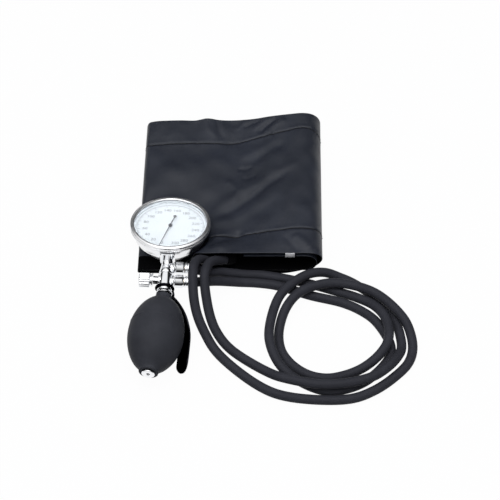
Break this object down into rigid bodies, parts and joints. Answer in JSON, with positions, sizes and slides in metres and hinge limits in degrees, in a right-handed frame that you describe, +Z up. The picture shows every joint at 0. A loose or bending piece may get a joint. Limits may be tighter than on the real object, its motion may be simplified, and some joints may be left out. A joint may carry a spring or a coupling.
{
  "type": "aneroid sphygmomanometer",
  "caption": "Aneroid blood pressure meter: a dial on a chromed neck, a squeeze bulb with spoon lever and release valve, long hoses and a rolled arm cuff.",
  "frame": {"origin": "a point on the rolled cuff's underside, on the table plane, about midway between the cuff's edges", "axes": "+Z up from the table, +X to the right and +Y away from the viewer, along the cuff's arm opening"},
  "size_m": [0.2381, 0.2915, 0.046],
  "materials": {
    "chrome": "polished",
    "steel": "satin",
    "brass": "satin",
    "black_enamel": "gloss",
    "white_dial": "matte",
    "rubber": "satin",
    "nylon": "woven, coated",
    "tag_cloth": "woven",
    "glass": "clear"
  },
  "bodies": {
    "cuff_and_gauge": {"bezel_ring": "chrome", "bladder": "rubber", "bladder_port_a": "rubber", "bladder_port_b": "rubber", "bridge_pillar_far": "brass", "bridge_pillar_left": "brass", "bridge_pillar_right": "brass", "bulb": "rubber", "capsule": "brass", "capsule_base": "brass", "collar_nut": "chrome", "cuff_inner_cloth": "nylon", "cuff_outer_cloth": "nylon", "dial_plate": "white_dial", "end_valve_body": "chrome", "end_valve_cap": "brass", "ferrule_lower": "chrome", "ferrule_upper": "chrome", "gauge_case": "chrome", "hairspring": "steel", "hook_patch": "nylon", "hose_lower": "rubber", "hose_nut_lower": "chrome", "hose_nut_upper": "chrome", "hose_tail_lower": "brass", "hose_tail_upper": "brass", "hose_upper": "rubber", "inlet_tube": "brass", "lens": "glass", "loop_patch": "nylon", "movement_bridge": "brass", "movement_plate": "brass", "release_gland": "chrome", "size_tag": "tag_cloth", "valve_body": "chrome"},
    "needle": {"pointer": "black_enamel", "pointer_arbor": "steel"},
    "sector": {"sector_gear": "brass"},
    "rocker": {"rocker_shaft": "steel"},
    "push_pin": {"push_pin": "steel"},
    "spindle": {"release_spindle": "steel"},
    "knob": {"release_knob": "chrome"},
    "spoon": {"spoon": "chrome"},
    "intake_disc": {"end_valve_disc": "rubber"}
  },
  "joints": [
    {"name": "pointer_turn", "type": "hinge", "parent": "cuff_and_gauge", "child": "needle", "pos_m": [-0.04981, -0.05012, 0.0337], "axis": [-0.0104, -0.1991, -0.9799], "range_deg": [0, 330], "stiffness_Nm_per_rad": 0.0009, "springref_deg": -17.19, "deforming": ["hairspring"]},
    {"name": "sector_turn", "type": "hinge", "parent": "cuff_and_gauge", "child": "sector", "pos_m": [-0.04935, -0.04131, 0.03191], "axis": [0.0104, 0.1991, 0.9799], "range_deg": [0, 42]},
    {"name": "rocker_turn", "type": "hinge", "parent": "cuff_and_gauge", "child": "rocker", "pos_m": [-0.04956, -0.04526, 0.01822], "axis": [-0.9986, 0.0523, 0], "range_deg": [0, 29]},
    {"name": "push_pin_slide", "type": "slide", "parent": "cuff_and_gauge", "child": "push_pin", "axis": [0.0104, 0.1991, 0.9799], "range_m": [0, 0.0015]},
    {"name": "release_travel", "type": "slide", "parent": "cuff_and_gauge", "child": "spindle", "axis": [-0.9986, 0.0523, 0], "range_m": [0, 0.0014]},
    {"name": "release_turn", "type": "hinge", "parent": "spindle", "child": "knob", "pos_m": [-0.0527, -0.1052, 0.02469], "axis": [-0.9986, 0.0523, 0], "range_deg": [0, 720]},
    {"name": "spoon_swivel", "type": "hinge", "parent": "cuff_and_gauge", "child": "spoon", "pos_m": [-0.0527, -0.1052, 0.02469], "axis": [-0.0523, -0.9977, -0.0436], "range_deg": [0, 95]},
    {"name": "intake_disc_lift", "type": "slide", "parent": "cuff_and_gauge", "child": "intake_disc", "axis": [0.1391, 0.9899, 0.026], "range_m": [0, 0.0006]}
  ],
  "couplings": [
    {"joint": "sector_turn", "follows": "pointer_turn", "ratio": 0.125},
    {"joint": "rocker_turn", "follows": "pointer_turn", "ratio": 0.085938},
    {"joint": "push_pin_slide", "follows": "pointer_turn", "m_per_rad": 0.0002578},
    {"joint": "release_travel", "follows": "release_turn", "m_per_rad": 0.00011141}
  ]
}
